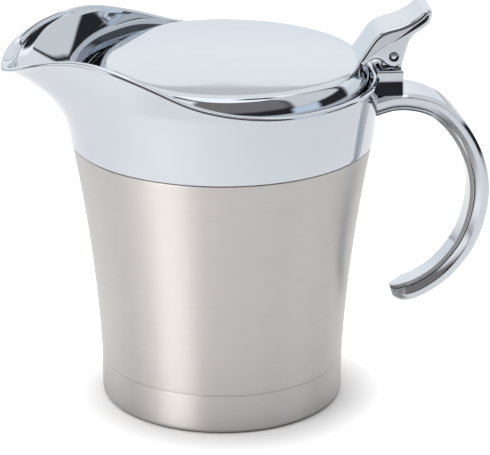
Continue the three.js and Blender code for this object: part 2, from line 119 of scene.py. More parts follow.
# Corners given as (x, z, radius) become short arcs.
def rounded(corners, closed, steps=4):
    result = []
    count = len(corners)
    for i, (x, z, radius) in enumerate(corners):
        here = Vector((x, z))
        atEnd = not closed and i in (0, count - 1)
        if radius <= 0 or atEnd:
            result.append(here)
            continue
        before = Vector(corners[i - 1][:2]) - here
        after = Vector(corners[(i + 1) % count][:2]) - here
        angle = before.angle(after)
        cut = min(radius / math.tan(angle / 2), before.length * 0.48, after.length * 0.48)
        first = here + before.normalized() * cut
        last = here + after.normalized() * cut
        for k in range(steps + 1):
            t = k / steps
            result.append(first * (1 - t) ** 2 + here * 2 * t * (1 - t) + last * t * t)
    return result


def pieceFrom(name, verts, faces, material, body, nodes, sharp=38):
    mesh = bpy.data.meshes.new(name)
    mesh.from_pydata([(x * mm, y * mm, z * mm) for x, y, z in verts], [], faces)
    work = bmesh.new()
    work.from_mesh(mesh)
    bmesh.ops.remove_doubles(work, verts=work.verts, dist=2e-7)
    bmesh.ops.recalc_face_normals(work, faces=work.faces)
    work.to_mesh(mesh)
    work.free()
    mesh.shade_smooth()
    mesh.set_sharp_from_angle(angle=math.radians(sharp))
    piece = bpy.data.objects.new(name, mesh)
    bpy.context.scene.collection.objects.link(piece)
    mesh.materials.append(material)
    if body:
        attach(piece, body)
    if nodes:
        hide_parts(*nodes)
    return piece


# Surface round the Z axis; profileAt(degrees from the spout) gives (radius, z) pairs.
def spun(profileAt, turns, closed):
    verts, faces = [], []
    count = len(profileAt(0.0))
    for i in range(turns):
        degrees = 360 * i / turns
        angle = math.radians(degrees)
        for radius, z in profileAt(min(degrees, 360 - degrees)):
            verts.append((-radius * math.cos(angle), radius * math.sin(angle), z))
    for i in range(turns):
        here, after = i * count, (i + 1) % turns * count
        for j in range(count if closed else count - 1):
            k = (j + 1) % count
            faces.append((here + j, after + j, after + k, here + k))
    return verts, faces


# Skin over a row of loops, with flat ends.
def lofted(loops):
    count = len(loops[0])
    verts = [v for loop in loops for v in loop]
    faces = []
    for i in range(len(loops) - 1):
        for j in range(count):
            k = (j + 1) % count
            a, b = i * count, (i + 1) * count
            faces.append((a + j, a + k, b + k, b + j))
    faces.append(tuple(range(count))[::-1])
    faces.append(tuple((len(loops) - 1) * count + j for j in range(count)))
    return verts, faces


# Takes the shape of one or more cutters out of a piece.
def cutBy(piece, *cutters):
    for cutter in cutters:
        cut = piece.modifiers.new("cut", "BOOLEAN")
        cut.operation = "DIFFERENCE"
        cut.solver = "EXACT"
        cut.object = cutter
    bpy.context.view_layer.update()
    graph = bpy.context.evaluated_depsgraph_get()
    made = bpy.data.meshes.new_from_object(piece.evaluated_get(graph))
    made.name = piece.name
    piece.modifiers.clear()
    piece.data = made
    for cutter in cutters:
        bpy.data.objects.remove(cutter)
    made.shade_smooth()
    made.set_sharp_from_angle(angle=math.radians(38))


# shader building blocks

def newGroup(name, inputs, outputs):
    group = bpy.data.node_groups.new(name, "ShaderNodeTree")
    for label, kind, value in inputs:
        socket = group.interface.new_socket(name=label, in_out="INPUT", socket_type=kind)
        if value is not None:
            socket.default_value = value
    for label, kind in outputs:
        group.interface.new_socket(name=label, in_out="OUTPUT", socket_type=kind)
    return group, group.nodes.new("NodeGroupInput"), group.nodes.new("NodeGroupOutput")


def mathNode(tree, operation, first, second=None, third=None, clamp=False):
    node = tree.nodes.new("ShaderNodeMath")
    node.operation = operation
    node.use_clamp = clamp
    for socket, value in zip(node.inputs, (first, second, third)):
        if value is None:
            continue
        if isinstance(value, (int, float)):
            socket.default_value = value
        else:
            tree.links.new(value, socket)
    return node.outputs[0]


def rangeNode(tree, value, fromLow, fromHigh, toLow, toHigh, style="SMOOTHSTEP"):
    node = tree.nodes.new("ShaderNodeMapRange")
    node.interpolation_type = style
    tree.links.new(value, node.inputs["Value"])
    node.inputs["From Min"].default_value = fromLow
    node.inputs["From Max"].default_value = fromHigh
    node.inputs["To Min"].default_value = toLow
    node.inputs["To Max"].default_value = toHigh
    return node.outputs[0]


# Long fine lines that run level round the vessel, as a brushing belt leaves them.
def makeBrushLines():
    group, inside, out = newGroup("brushLines", [
        ("Vector", "NodeSocketVector", None),
        ("Line Pitch", "NodeSocketFloat", 0.00022),
        ("Line Length", "NodeSocketFloat", 0.022),
    ], [("Tone", "NodeSocketFloat"), ("Height", "NodeSocketFloat")])
    along = mathNode(group, "DIVIDE", 1.0, inside.outputs["Line Length"])
    across = mathNode(group, "DIVIDE", 1.0, inside.outputs["Line Pitch"])
    stretch = group.nodes.new("ShaderNodeCombineXYZ")
    group.links.new(along, stretch.inputs["X"])
    group.links.new(along, stretch.inputs["Y"])
    group.links.new(across, stretch.inputs["Z"])
    scaled = group.nodes.new("ShaderNodeVectorMath")
    scaled.operation = "MULTIPLY"
    group.links.new(inside.outputs["Vector"], scaled.inputs[0])
    group.links.new(stretch.outputs[0], scaled.inputs[1])
    lines = group.nodes.new("ShaderNodeTexNoise")
    lines.inputs["Scale"].default_value = 1.0
    lines.inputs["Detail"].default_value = 3.0
    lines.inputs["Roughness"].default_value = 0.65
    group.links.new(scaled.outputs[0], lines.inputs["Vector"])
    wide = group.nodes.new("ShaderNodeTexNoise")
    wide.inputs["Scale"].default_value = 0.11
    wide.inputs["Detail"].default_value = 2.0
    group.links.new(scaled.outputs[0], wide.inputs["Vector"])
    both = mathNode(group, "MULTIPLY_ADD", wide.outputs["Fac"], 0.22,
                    mathNode(group, "MULTIPLY", lines.outputs["Fac"], 0.78))
    group.links.new(both, out.inputs["Tone"])
    group.links.new(lines.outputs["Fac"], out.inputs["Height"])
    return group


# Faint wiping marks and settled dust on a polished surface.
def makeHandling():
    group, inside, out = newGroup("handlingMarks", [
        ("Vector", "NodeSocketVector", None),
        ("Mark Size", "NodeSocketFloat", 0.02),
        ("Speck Size", "NodeSocketFloat", 0.0009),
    ], [
        ("Marks", "NodeSocketFloat"),
        ("Specks", "NodeSocketFloat"),
        ("Ripple", "NodeSocketFloat"),
    ])
    scaleMarks = mathNode(group, "DIVIDE", 1.0, inside.outputs["Mark Size"])
    scaleSpecks = mathNode(group, "DIVIDE", 1.0, inside.outputs["Speck Size"])
    marks = group.nodes.new("ShaderNodeTexNoise")
    marks.inputs["Detail"].default_value = 5.0
    marks.inputs["Distortion"].default_value = 0.7
    group.links.new(inside.outputs["Vector"], marks.inputs["Vector"])
    group.links.new(scaleMarks, marks.inputs["Scale"])
    specks = group.nodes.new("ShaderNodeTexVoronoi")
    group.links.new(inside.outputs["Vector"], specks.inputs["Vector"])
    group.links.new(scaleSpecks, specks.inputs["Scale"])
    ripple = group.nodes.new("ShaderNodeTexNoise")
    ripple.inputs["Detail"].default_value = 0.0
    group.links.new(inside.outputs["Vector"], ripple.inputs["Vector"])
    group.links.new(mathNode(group, "MULTIPLY", scaleMarks, 3.0), ripple.inputs["Scale"])
    group.links.new(rangeNode(group, marks.outputs["Fac"], 0.42, 0.72, 0.0, 1.0),
                    out.inputs["Marks"])
    group.links.new(rangeNode(group, specks.outputs["Distance"], 0.06, 0.14, 1.0, 0.0),
                    out.inputs["Specks"])
    group.links.new(ripple.outputs["Fac"], out.inputs["Ripple"])
    return group


brushLines = makeBrushLines()
handlingMarks = makeHandling()


def startMaterial(name, color, roughness, metallic):
    material = bpy.data.materials.new(name)
    material.use_nodes = True
    tree = material.node_tree
    shader = tree.nodes["Principled BSDF"]
    shader.inputs["Base Color"].default_value = (*color, 1)
    shader.inputs["Roughness"].default_value = roughness
    shader.inputs["Metallic"].default_value = metallic
    place = tree.nodes.new("ShaderNodeTexCoord")
    return material, tree, shader, place.outputs["Object"]


def mixColors(tree, amount, first, second):
    node = tree.nodes.new("ShaderNodeMix")
    node.data_type = "RGBA"
    tree.links.new(amount, node.inputs[0])
    node.inputs[6].default_value = (*first, 1)
    node.inputs[7].default_value = (*second, 1)
    return node.outputs[2]


def bumpFrom(tree, height, distance, strength=1.0):
    node = tree.nodes.new("ShaderNodeBump")
    node.inputs["Strength"].default_value = strength
    node.inputs["Distance"].default_value = distance
    tree.links.new(height, node.inputs["Height"])
    return node.outputs["Normal"]


# Level-brushed stainless steel, with the tangent running round the vessel.
def makeBrushedSteel(name, dark, light, low, high, depth):
    material, tree, shader, place = startMaterial(name, light, low, 1.0)
    lines = tree.nodes.new("ShaderNodeGroup")
    lines.node_tree = brushLines
    tree.links.new(place, lines.inputs["Vector"])
    tree.links.new(mixColors(tree, lines.outputs["Tone"], dark, light), shader.inputs["Base Color"])
    tree.links.new(rangeNode(tree, lines.outputs["Tone"], 0.3, 0.7, high, low, "LINEAR"),
                   shader.inputs["Roughness"])
    tree.links.new(bumpFrom(tree, lines.outputs["Height"], depth), shader.inputs["Normal"])
    shader.inputs["Anisotropic"].default_value = 0.8
    shader.inputs["Anisotropic Rotation"].default_value = 0.25
    tangent = tree.nodes.new("ShaderNodeTangent")
    tangent.direction_type = "RADIAL"
    tangent.axis = "Z"
    tree.links.new(tangent.outputs[0], shader.inputs["Tangent"])
    return material


# Bright plating: mirror smooth, a trace of ripple from the moulding and of handling.
def makePlated(name, color, dull, low, high, ripple):
    material, tree, shader, place = startMaterial(name, color, low, 1.0)
    marks = tree.nodes.new("ShaderNodeGroup")
    marks.node_tree = handlingMarks
    tree.links.new(place, marks.inputs["Vector"])
    faint = mathNode(tree, "MULTIPLY", marks.outputs["Marks"], 0.5)
    tree.links.new(mixColors(tree, faint, color, dull), shader.inputs["Base Color"])
    worn = mathNode(tree, "MULTIPLY_ADD", marks.outputs["Specks"], 0.3, marks.outputs["Marks"],
                    clamp=True)
    tree.links.new(rangeNode(tree, worn, 0.0, 1.0, low, high, "LINEAR"),
                   shader.inputs["Roughness"])
    tree.links.new(bumpFrom(tree, marks.outputs["Ripple"], ripple), shader.inputs["Normal"])
    return material


# Moulded plastic or silicone: a fine even texture and slight clouding.
def makeMoulded(name, color, pale, roughness, grain):
    material, tree, shader, place = startMaterial(name, color, roughness, 0.0)
    marks = tree.nodes.new("ShaderNodeGroup")
    marks.node_tree = handlingMarks
    marks.inputs["Mark Size"].default_value = 0.008
    tree.links.new(place, marks.inputs["Vector"])
    texture = tree.nodes.new("ShaderNodeTexNoise")
    texture.inputs["Scale"].default_value = 1600
    texture.inputs["Detail"].default_value = 2
    tree.links.new(place, texture.inputs["Vector"])
    tree.links.new(mixColors(tree, marks.outputs["Marks"], color, pale),
                   shader.inputs["Base Color"])
    tree.links.new(rangeNode(tree, texture.outputs["Fac"], 0.3, 0.7,
                             roughness - 0.06, roughness + 0.08, "LINEAR"),
                   shader.inputs["Roughness"])
    tree.links.new(bumpFrom(tree, texture.outputs["Fac"], grain), shader.inputs["Normal"])
    return material


finishes = {
    "bodySteel": makeBrushedSteel(
        "bodySteel", (0.56, 0.535, 0.514), (0.64, 0.612, 0.588), 0.4, 0.48, 2e-6),
    "linerSteel": makeBrushedSteel(
        "linerSteel", (0.6, 0.6, 0.6), (0.7, 0.7, 0.71), 0.16, 0.26, 1e-6),
    "pinSteel": makeBrushedSteel(
        "pinSteel", (0.6, 0.6, 0.6), (0.76, 0.76, 0.77), 0.2, 0.3, 1e-6),
    "plating": makePlated("plating", (0.6, 0.63, 0.67), (0.57, 0.6, 0.64), 0.03, 0.06, 3e-6),
    "lidInside": makeMoulded("lidInside", (0.44, 0.45, 0.47), (0.5, 0.51, 0.52), 0.4, 4e-6),
    "seal": makeMoulded("seal", (0.4, 0.42, 0.43), (0.46, 0.47, 0.48), 0.7, 8e-6),
    "ringPlastic": makeMoulded(
        "ringPlastic", (0.03, 0.03, 0.033), (0.05, 0.05, 0.052), 0.5, 8e-6),
}
print("finishes made")

# sizes taken from the frame, and how the pieces sit to each other

fit = {
    "gap": 0.3,             # between neighbouring pieces
    "rimAboveSeam": 24,
    "rimBeyondSeam": 2.3,
    "collarStep": 0.3,      # the collar stands out from the steel by this much
}
gap = fit["gap"]

shellHigh = boxMm("outer_shell")[1]
baseHigh = boxMm("base_cup")[1]
linerHigh = boxMm("inner_liner")[1]
collarLow, collarHigh = boxMm("collar")
pinLow, pinHigh = boxMm("hinge_pin")

seamHeight = shellHigh[2]
seamRadius = shellHigh[0]
baseRadius = baseHigh[0]
bandTop = baseHigh[2] + gap
rimHeight = seamHeight + fit["rimAboveSeam"]
rimRadius = seamRadius + fit["rimBeyondSeam"]
pinX = (pinLow[0] + pinHigh[0]) / 2
pinZ = (pinLow[2] + pinHigh[2]) / 2


def bodyRadius(z):
    t = (z - bandTop) / (seamHeight - bandTop)
    return baseRadius + (seamRadius - baseRadius) * (0.42 * t + 0.58 * t * t)


def collarRadius(z):
    t = min(1.0, max(0.0, (z - seamHeight) / (rimHeight - seamHeight)))
    return lerp(seamRadius + fit["collarStep"], rimRadius, t * (1.35 - 0.35 * t))


# steel body

body = {
    "turns": 256,
    "wall": 0.8,
    "edgeRound": 0.14,      # softened edge of the sheet on each side of the band's line
    "bandLine": 0.05,       # width of the line above the base's band
    "bottomRound": 2.0,
    "grooveRadius": 35.0,
    "grooveWidth": 3.0,
    "grooveDepth": 0.6,
}


def makeShell():
    wall, edge = body["wall"], body["edgeRound"]
    neck = baseRadius - wall - gap
    heights = [lerp(bandTop, seamHeight, i / 44) for i in range(1, 44)]
    outside = [(bodyRadius(z), z, 0) for z in heights]
    inside = [(bodyRadius(z) - wall, z, 0) for z in reversed(heights[2:])]
    corners = [
        (neck, bandTop - 5, 0.1), (neck, bandTop - gap, 0), (neck, bandTop, 0),
        (bodyRadius(bandTop), bandTop, edge), *outside,
        (seamRadius, seamHeight, edge), (seamRadius - wall, seamHeight, edge), *inside,
        (neck - wall, bandTop + wall + 1, 0.3), (neck - wall, bandTop - 5, 0.1),
    ]
    profile = rounded(corners, True)
    verts, faces = spun(lambda degrees: profile, body["turns"], True)
    pieceFrom("steelShell", verts, faces, finishes["bodySteel"],
              "jug", ["outer_shell"], 50)


def makeBase():
    wall, edge = body["wall"], body["edgeRound"]
    top = bandTop - body["bandLine"]
    inGroove = body["grooveRadius"] - body["grooveWidth"] / 2
    outGroove = body["grooveRadius"] + body["grooveWidth"] / 2
    deep = body["grooveDepth"]
    corners = [
        (0, 0, 0), (inGroove - deep, 0, 0.5), (inGroove, deep, 0.5), (outGroove, deep, 0.5),
        (outGroove + deep, 0, 0.5), (baseRadius, 0, body["bottomRound"]),
        (baseRadius, 5, 0), (baseRadius, top - 1, 0), (baseRadius, top, edge),
        (baseRadius - wall, top, edge), (baseRadius - wall, wall, 1.4),
        (outGroove + deep, wall, 0.4),
        (outGroove, deep + wall, 0.4), (inGroove, deep + wall, 0.4), (inGroove - deep, wall, 0.4),
        (0, wall, 0),
    ]
    profile = rounded(corners, False, 6)
    verts, faces = spun(lambda degrees: profile, body["turns"], False)
    pieceFrom("steelBase", verts, faces, finishes["bodySteel"],
              "jug", ["base_cup"], 50)


liner = {
    "inset": 6.1,
    "floor": 8.0,
    "corner": 9.0,
    "flangeRadius": linerHigh[0],
}


def makeLiner():
    wall = body["wall"]
    top = linerHigh[2]
    cornerTop = liner["floor"] + liner["corner"]

    def outer(z):
        return bodyRadius(z) - liner["inset"]

    heights = [lerp(cornerTop, top - 1.5, i / 20) for i in range(1, 21)]
    corners = [
        (0, liner["floor"] - wall, 0),
        (outer(cornerTop) - 0.4, liner["floor"] - wall, liner["corner"] + wall),
        *[(outer(z), z, 0) for z in heights],
        (outer(top - wall), top - wall, 0.3), (liner["flangeRadius"], top - wall, 0.15),
        (liner["flangeRadius"], top, 0.15), (outer(top) - wall, top, 0.7),
        *[(outer(z) - wall, z, 0) for z in reversed(heights)],
        (outer(cornerTop) - 0.4 - wall, liner["floor"], liner["corner"]),
        (0, liner["floor"], 0),
    ]
    profile = rounded(corners, False, 8)
    verts, faces = spun(lambda degrees: profile, 160, False)
    pieceFrom("steelLiner", verts, faces, finishes["linerSteel"],
              "jug", ["inner_liner"], 50)


makeShell()
makeBase()
makeLiner()
print("steel body made")

# pouring collar

collar = {
    "turns": 288,
    "wall": 2.6,
    "rimRound": 1.3,
    "footGap": 0.4,         # open line above the steel's edge
    "footRound": 0.25,
    "gasket": 1.8,          # height left for the seal under the ledge
    "lip": 3.4,             # extra thickness of the rolled lip at the spout's tip
    "lipDroop": 0.7,        # how far it reaches down, as a share of that
    "seatDepth": 3.7,       # below the rim, where the wall thickens under the lid's edge
    "seatDrop": 2.3,
    "seatStep": 1.5,
    "spoutFlow": 2.7,
    "throat": 46.4,
    # degrees from the spout's middle, reach beyond the round rim, rise above it
    "rim": [
        (0, 22.2, 5.3), (11, 20.8, 8.2), (21, 14.9, 12.9), (31, 8.1, 15.4), (42, 4.2, 15.1),
        (58, 0.6, 10.8), (78, 0.4, 4.4), (100, 0.6, 1.0), (125, 0, 0), (180, 0, 0),
    ],
}


# The rim's reach and rise for each degree from the spout's middle.
def rimTable(column):
    points = [(stop[0], stop[column]) for stop in collar["rim"]]

    def slope(k):
        if k <= 0 or k >= len(points) - 1:
            return 0.0
        return (points[k + 1][1] - points[k - 1][1]) / (points[k + 1][0] - points[k - 1][0])

    values = []
    i = 0
    for degrees in range(181):
        while i < len(points) - 2 and degrees > points[i + 1][0]:
            i += 1
        (x0, y0), (x1, y1) = points[i], points[i + 1]
        span = x1 - x0
        t = (degrees - x0) / span
        values.append(y0 * (1 - t) ** 2 * (1 + 2 * t) + slope(i) * span * t * (1 - t) ** 2
                      + y1 * t * t * (3 - 2 * t) - slope(i + 1) * span * t * t * (1 - t))
    return evenedOut(values, 1.9)


reachTable = rimTable(1)
riseTable = rimTable(2)


def fromTable(values, degrees):
    low = min(int(degrees), 179)
    return lerp(values[low], values[low + 1], degrees - low)


def collarPoint(degrees, share):
    z = lerp(seamHeight + gap, rimHeight + fromTable(riseTable, degrees), share)
    return collarRadius(z) + fromTable(reachTable, degrees) * share ** collar["spoutFlow"], z


def collarProfile(degrees):
    inSpout = 1 - softStep(degrees, 40, 80)
    top = rimHeight + fromTable(riseTable, degrees)
    rim = collarPoint(degrees, 1)[0]
    wall, bead = collar["wall"], collar["rimRound"]
    footGap, footRound, droop = collar["footGap"], collar["footRound"], collar["lipDroop"]
    lip = collar["lip"] * (1 - softStep(degrees, -8, 30))
    beadShare = 1 - bead / (top - seamHeight)
    points = []
    foot = collarRadius(seamHeight)
    for k in range(5):
        turn = math.radians(90 * k / 4)
        points.append((foot - footRound * (1 - math.sin(turn)),
                       seamHeight + footGap + footRound * (1 - math.cos(turn))))
    for k in range(1, 44):
        share = lerp(footGap / (top - seamHeight), beadShare, k / 44)
        points.append(collarPoint(degrees, share))
    for k in range(9):
        turn = math.radians(90 * k / 8)
        points.append((rim - bead * (1 - math.cos(turn)), top - bead * (1 - math.sin(turn))))
    for k in range(9):
        turn = math.radians(90 - 90 * k / 8)
        points.append((rim - wall - lip + (bead + lip) * (1 - math.cos(turn)),
                       top - (bead + lip * droop) * (1 - math.sin(turn))))
    seat = rimHeight - collar["seatDepth"]
    for k in range(1, 40):
        share = lerp(beadShare, 0.24, k / 39)
        radius, z = collarPoint(degrees, share)
        below = 1 - softStep(z, seat - collar["seatDrop"], seat)
        under = lip * softStep(share, 0.3, beadShare)
        points.append((radius - wall - under - collar["seatStep"] * below * (1 - inSpout),
                       z - droop * under))
    ledge = linerHigh[2] + gap + collar["gasket"] + gap
    lowInner = points[-1]
    for k in range(1, 7):
        t = k / 6
        points.append((lerp(lowInner[0], collar["throat"], softStep(t, -0.2, 1.1)),
                       lerp(lowInner[1], ledge + 2, 1 - (1 - t) ** 2.2)))
    plug = liner["flangeRadius"] + gap
    skirt = bodyRadius(collarLow[2]) - body["wall"] - gap
    points += [
        (collar["throat"], ledge + 1.6), (collar["throat"], ledge), (plug, ledge),
        (plug, collarLow[2]), (skirt, collarLow[2]), (seamRadius - 1.15, seamHeight - 0.5),
        (seamRadius - 1.15, seamHeight + footGap),
    ]
    return points


post = {
    "halfWidth": 10.2,
    "footHalfWidth": 11.3,
    "footBelowRim": 6.7,
    "coveFall": 1.15,       # how quickly the foot's spread fades upwards
    "face": 3.6,            # flat part above the cove
    "back": collarHigh[0],
    "top": pinZ - 5.2,
    "edge": 0.7,
    "knuckleHalfWidth": 6.0,
    "knuckleRadius": 3.6,
    "bore": 1.45,
}


# Four-cornered section with rounded corners.
def postSection(z, front, back, half, edge):
    corners = [(front, -half, 0.1), (back, -half, edge), (back, half, edge), (front, half, 0.1)]
    return [(p[0], p[1], z) for p in rounded(corners, True, 6)]


def makePost():
    foot = rimHeight - post["footBelowRim"]
    faceFoot = post["top"] - post["face"]
    front = rimRadius - collar["wall"] + 0.6
    loops = []
    for k in range(14):
        t = k / 13
        spread = (post["footHalfWidth"] - post["halfWidth"]) * (1 - t) ** post["coveFall"]
        loops.append(postSection(lerp(foot, faceFoot, t), front, post["back"],
                                 post["halfWidth"] + spread, post["edge"]))
    for k in range(1, 5):
        loops.append(postSection(lerp(faceFoot, post["top"] - post["edge"], k / 4), front,
                                 post["back"], post["halfWidth"], post["edge"]))
    for k in range(1, 6):
        turn = math.radians(90 * k / 5)
        inset = post["edge"] * (1 - math.cos(turn))
        z = post["top"] - post["edge"] * (1 - math.sin(turn))
        loops.append(postSection(z, front, post["back"] - inset, post["halfWidth"] - inset,
                                 max(0.05, post["edge"] - inset)))
    verts, faces = lofted(loops)
    pieceFrom("hingePost", verts, faces, finishes["plating"], "jug", ["collar"])


def makeKnuckle():
    radius, half = post["knuckleRadius"], post["knuckleHalfWidth"]
    outline = [(pinX - radius, post["top"] - 1)]
    for k in range(41):
        turn = math.radians(180 - 180 * k / 40)
        outline.append((pinX + radius * math.cos(turn), pinZ + radius * math.sin(turn)))
    outline.append((pinX + radius, post["top"] - 1))
    loops = []
    for y, inset in ((-half, 0.35), (-half + 0.12, 0.12), (-half + 0.35, 0),
                     (half - 0.35, 0), (half - 0.12, 0.12), (half, 0.35)):
        loops.append([(x + (pinX - x) * inset / radius, y, z - (inset if z > pinZ else 0))
                      for x, z in outline])
    verts, faces = lofted(loops)
    knuckle = pieceFrom("hingeKnuckle", verts, faces, finishes["plating"],
                        "jug", ["collar"])
    cutBy(knuckle, roundBar(post["bore"], -half - 1, half + 1))


# Bar along Y on the hinge axis, used as a cutter.
def roundBar(radius, fromY, toY):
    loops = []
    for y in (fromY, toY):
        turns = [math.radians(a) for a in range(0, 360, 6)]
        loops.append([(pinX + radius * math.cos(turn), y, pinZ + radius * math.sin(turn))
                      for turn in turns])
    verts, faces = lofted(loops)
    return pieceFrom("bar", verts, faces, finishes["plating"], None, [])


def makeCollar():
    verts, faces = spun(collarProfile, collar["turns"], True)
    pieceFrom("pouringCollar", verts, faces, finishes["plating"],
              "jug", ["collar"], 44)


makeCollar()
makePost()
makeKnuckle()
print("collar made")

# handle

handle = {
    "steps": 150,
    "length": 158.0,        # along the spine
    "rootDepth": 7.2,
    "tipDepth": 6.4,
    "split": 5.1,
    "rootHalfWidth": 10.5,
    "halfWidth": 8.1,
    "tipHalfWidth": 7.4,
    "tipRound": 8.5,
    "tipNarrow": 0.93,      # the end's rounding, seen from above
    "tipThin": 0.3,         # share of the depth lost at the very end
    "tipDrop": 1.3,         # the outer face turns in by this much there
    "dropFrom": 0.965,
    "bevel": 1.3,
    "line": 0.25,           # width of the joint between shell and cover
    "flankDepth": 2.9,      # flat part of the sides, before they turn in
    "flankIn": 1.6,
    "coverIn": 3.1,
    # outwards from the rim's radius and up from its height
    "spine": [
        (-5, -9.2), (4, -6.8), (13, -7.3), (23, -11.3), (33.4, -22.8), (39.5, -37.8),
        (39.9, -51.8), (35.4, -66.8), (26.4, -78.8), (16.2, -85.6), (7, -88.2),
    ],
}
spineLine = lineThrough([(rimRadius + x, rimHeight + z) for x, z in handle["spine"]], 400)


def spineAt(share):
    place = min(max(share, 0.0), 1.0) * 399
    low = min(int(place), 398)
    point = spineLine[low].lerp(spineLine[low + 1], place - low)
    ahead = spineLine[min(low + 4, 399)] - spineLine[max(low - 3, 0)]
    along = ahead.normalized()
    return point, Vector((along[1], -along[0]))


def handleSizes(share):
    straight = lerp(handle["rootHalfWidth"], handle["halfWidth"], softStep(share, 0, 0.34))
    half = lerp(straight, handle["tipHalfWidth"], softStep(share, 0.5, 1))
    intoTip = max(0.0, (share - 1) * handle["length"] + handle["tipRound"]) / handle["tipRound"]
    depth = lerp(handle["rootDepth"], handle["tipDepth"], softStep(share, 0.1, 0.95))
    depth *= 1 - handle["tipThin"] * intoTip ** 2
    return half * math.sqrt(max(0.0, 1 - handle["tipNarrow"] * intoTip ** 2)), depth


def sweepHandle(sectionAt, start):
    loops = []
    steps = handle["steps"]
    for i in range(steps + 1):
        t = i / steps
        share = lerp(start, 1.0, 1 - (1 - t) ** 1.35)
        point, inwards = spineAt(share)
        nearEnd = max(0.0, (share - handle["dropFrom"]) / (1 - handle["dropFrom"]))
        drop = handle["tipDrop"] * nearEnd ** 3
        loops.append([(point[0] + inwards[0] * (depth + drop), side,
                       point[1] + inwards[1] * (depth + drop))
                      for side, depth in sectionAt(share)])
    return lofted(loops)


def shellSection(share):
    half, depth = handleSizes(share)
    split = min(handle["split"], depth - 1.1)
    bevel = min(handle["bevel"], half / 3)
    flank = max(min(handle["flankDepth"], split - 1.2), bevel + 0.3)
    waist = half - min(handle["flankIn"], half / 4)
    corners = [
        (-waist, split, 0.12), (-half, flank, 1.0), (-half, bevel, 0.4), (bevel - half, 0, 0.4),
        (half - bevel, 0, 0.4), (half, bevel, 0.4), (half, flank, 1.0), (waist, split, 0.12),
    ]
    return rounded(corners, True, 5)


def coverSection(share):
    half, depth = handleSizes(share)
    split = min(handle["split"], depth - 1.1) + handle["line"]
    waist = half - min(handle["flankIn"] + 0.1, half / 4)
    inside = half - min(handle["coverIn"], half / 2)
    corners = [
        (-waist, split, 0.12), (waist, split, 0.12), (inside, depth, 1.3), (-inside, depth, 1.3),
    ]
    return rounded(corners, True, 8)


def makeHandle():
    start = 0.012
    verts, faces = sweepHandle(shellSection, start)
    pieceFrom("handleOuter", verts, faces, finishes["plating"],
              "jug", ["handle_shell"], 30)
    verts, faces = sweepHandle(coverSection, start)
    pieceFrom("handleInner", verts, faces, finishes["plating"],
              "jug", ["handle_cover"], 30)


makeHandle()
print("handle made")

# lid

lid = {
    "turns": 256,
    "radius": rimRadius - 3.6,
    "front": rimRadius - 11.7,
    # share of the way to the edge, and height above the rim
    "dome": [
        (0, 8.7), (0.125, 8.65), (0.25, 8.5), (0.375, 8.25), (0.5, 7.9),
        (0.6, 7.55), (0.7, 7.15), (0.78, 6.8), (0.85, 6.45), (0.9, 6.15),
        (0.925, 5.95), (0.94, 5.6), (0.952, 5.0), (0.967, 3.7), (0.983, 1.9),
    ],
    "edgeTop": rimHeight + 0.3,
    "edgeFoot": rimHeight - 2.1,
    "wall": 2.0,
}


def lidEdge(degrees):
    return lerp(lid["front"], lid["radius"], softStep(degrees, 20, 94))


def domeLine():
    size = 50.0
    points = [(size * share, rimHeight + rise) for share, rise in lid["dome"]]
    points += [(size * 0.993, lid["edgeTop"]), (size, lid["edgeFoot"])]
    line = lineThrough(points, 110)
    radii = evenedOut([p[0] for p in line], 1.6)
    radii[0] = 0.0
    heights = evenedOut([p[1] for p in line], 1.6)
    rows = [(min(1.0, r / size), z) for r, z in zip(radii[:-2], heights[:-2])]
    return rows + [(1.0, lid["edgeFoot"] + 0.3)]


domePoints = domeLine()


def lidProfile(degrees):
    edge = lidEdge(degrees)
    wall, foot = lid["wall"], lid["edgeFoot"]
    points = [(share * edge, z) for share, z in domePoints]
    points += [(edge - 0.1, foot + 0.08), (edge - 0.35, foot), (edge - wall + 0.35, foot),
               (edge - wall + 0.1, foot + 0.08), (edge - wall, foot + 0.3)]
    inner = [(share * edge - 1.2 * softStep(share, 0.86, 0.95), z - wall)
             for share, z in domePoints if z - wall > lid["edgeTop"] - 0.6]
    points += [(min(radius, edge - wall), z) for radius, z in reversed(inner)]
    return points


lever = {
    "halfWidth": 10.2,
    "footHalfWidth": 10.8,
    "edge": 1.5,            # rounding of the long edges
    "padReach": 10.2,       # where the rounded end of the pad begins, from the pin
    "padRound": 4.4,
    "pinHole": 1.8,
    "boss": 4.0,
    # side outline from the pin: over the top, round the pad, back under
    "top": [
        (-13, -2.2), (-9.9, 2.3), (-7.2, 6.3), (-4.9, 8.5), (-2.1, 9.8), (2.4, 11.0),
        (6.2, 12.7), (8.8, 14.6), (10.6, 16.1), (12.1, 16.6), (13.4, 15.9), (13.9, 14.2),
        (13.1, 12.1), (10.5, 9.8), (7.5, 7.8), (5.7, 5.6), (4.8, 3.0), (4.1, 0.6),
    ],
    "under": [(-3.6, -2.3), (-5.2, -1.2), (-7.2, -1.1), (-9.2, -2.1), (-10.4, -3.6), (-12.4, -3.6)],
}


def leverOutline():
    boss = []
    for a in range(-10, -131, -20):
        turn = math.radians(a)
        boss.append((lever["boss"] * math.cos(turn), lever["boss"] * math.sin(turn)))
    line = lineThrough(lever["top"] + boss[1:] + lever["under"], 190)
    return [Vector((pinX + p[0], pinZ + p[1])) for p in line]


# Moves a closed outline inwards.
def drawnIn(outline, distance):
    count = len(outline)
    area = sum(outline[i - 1][0] * outline[i][1] - outline[i][0] * outline[i - 1][1]
               for i in range(count))
    turn = 1 if area > 0 else -1
    result = []
    for i in range(count):
        along = (outline[(i + 1) % count] - outline[i - 1]).normalized()
        result.append(outline[i] + Vector((-along[1], along[0])) * turn * distance)
    return result


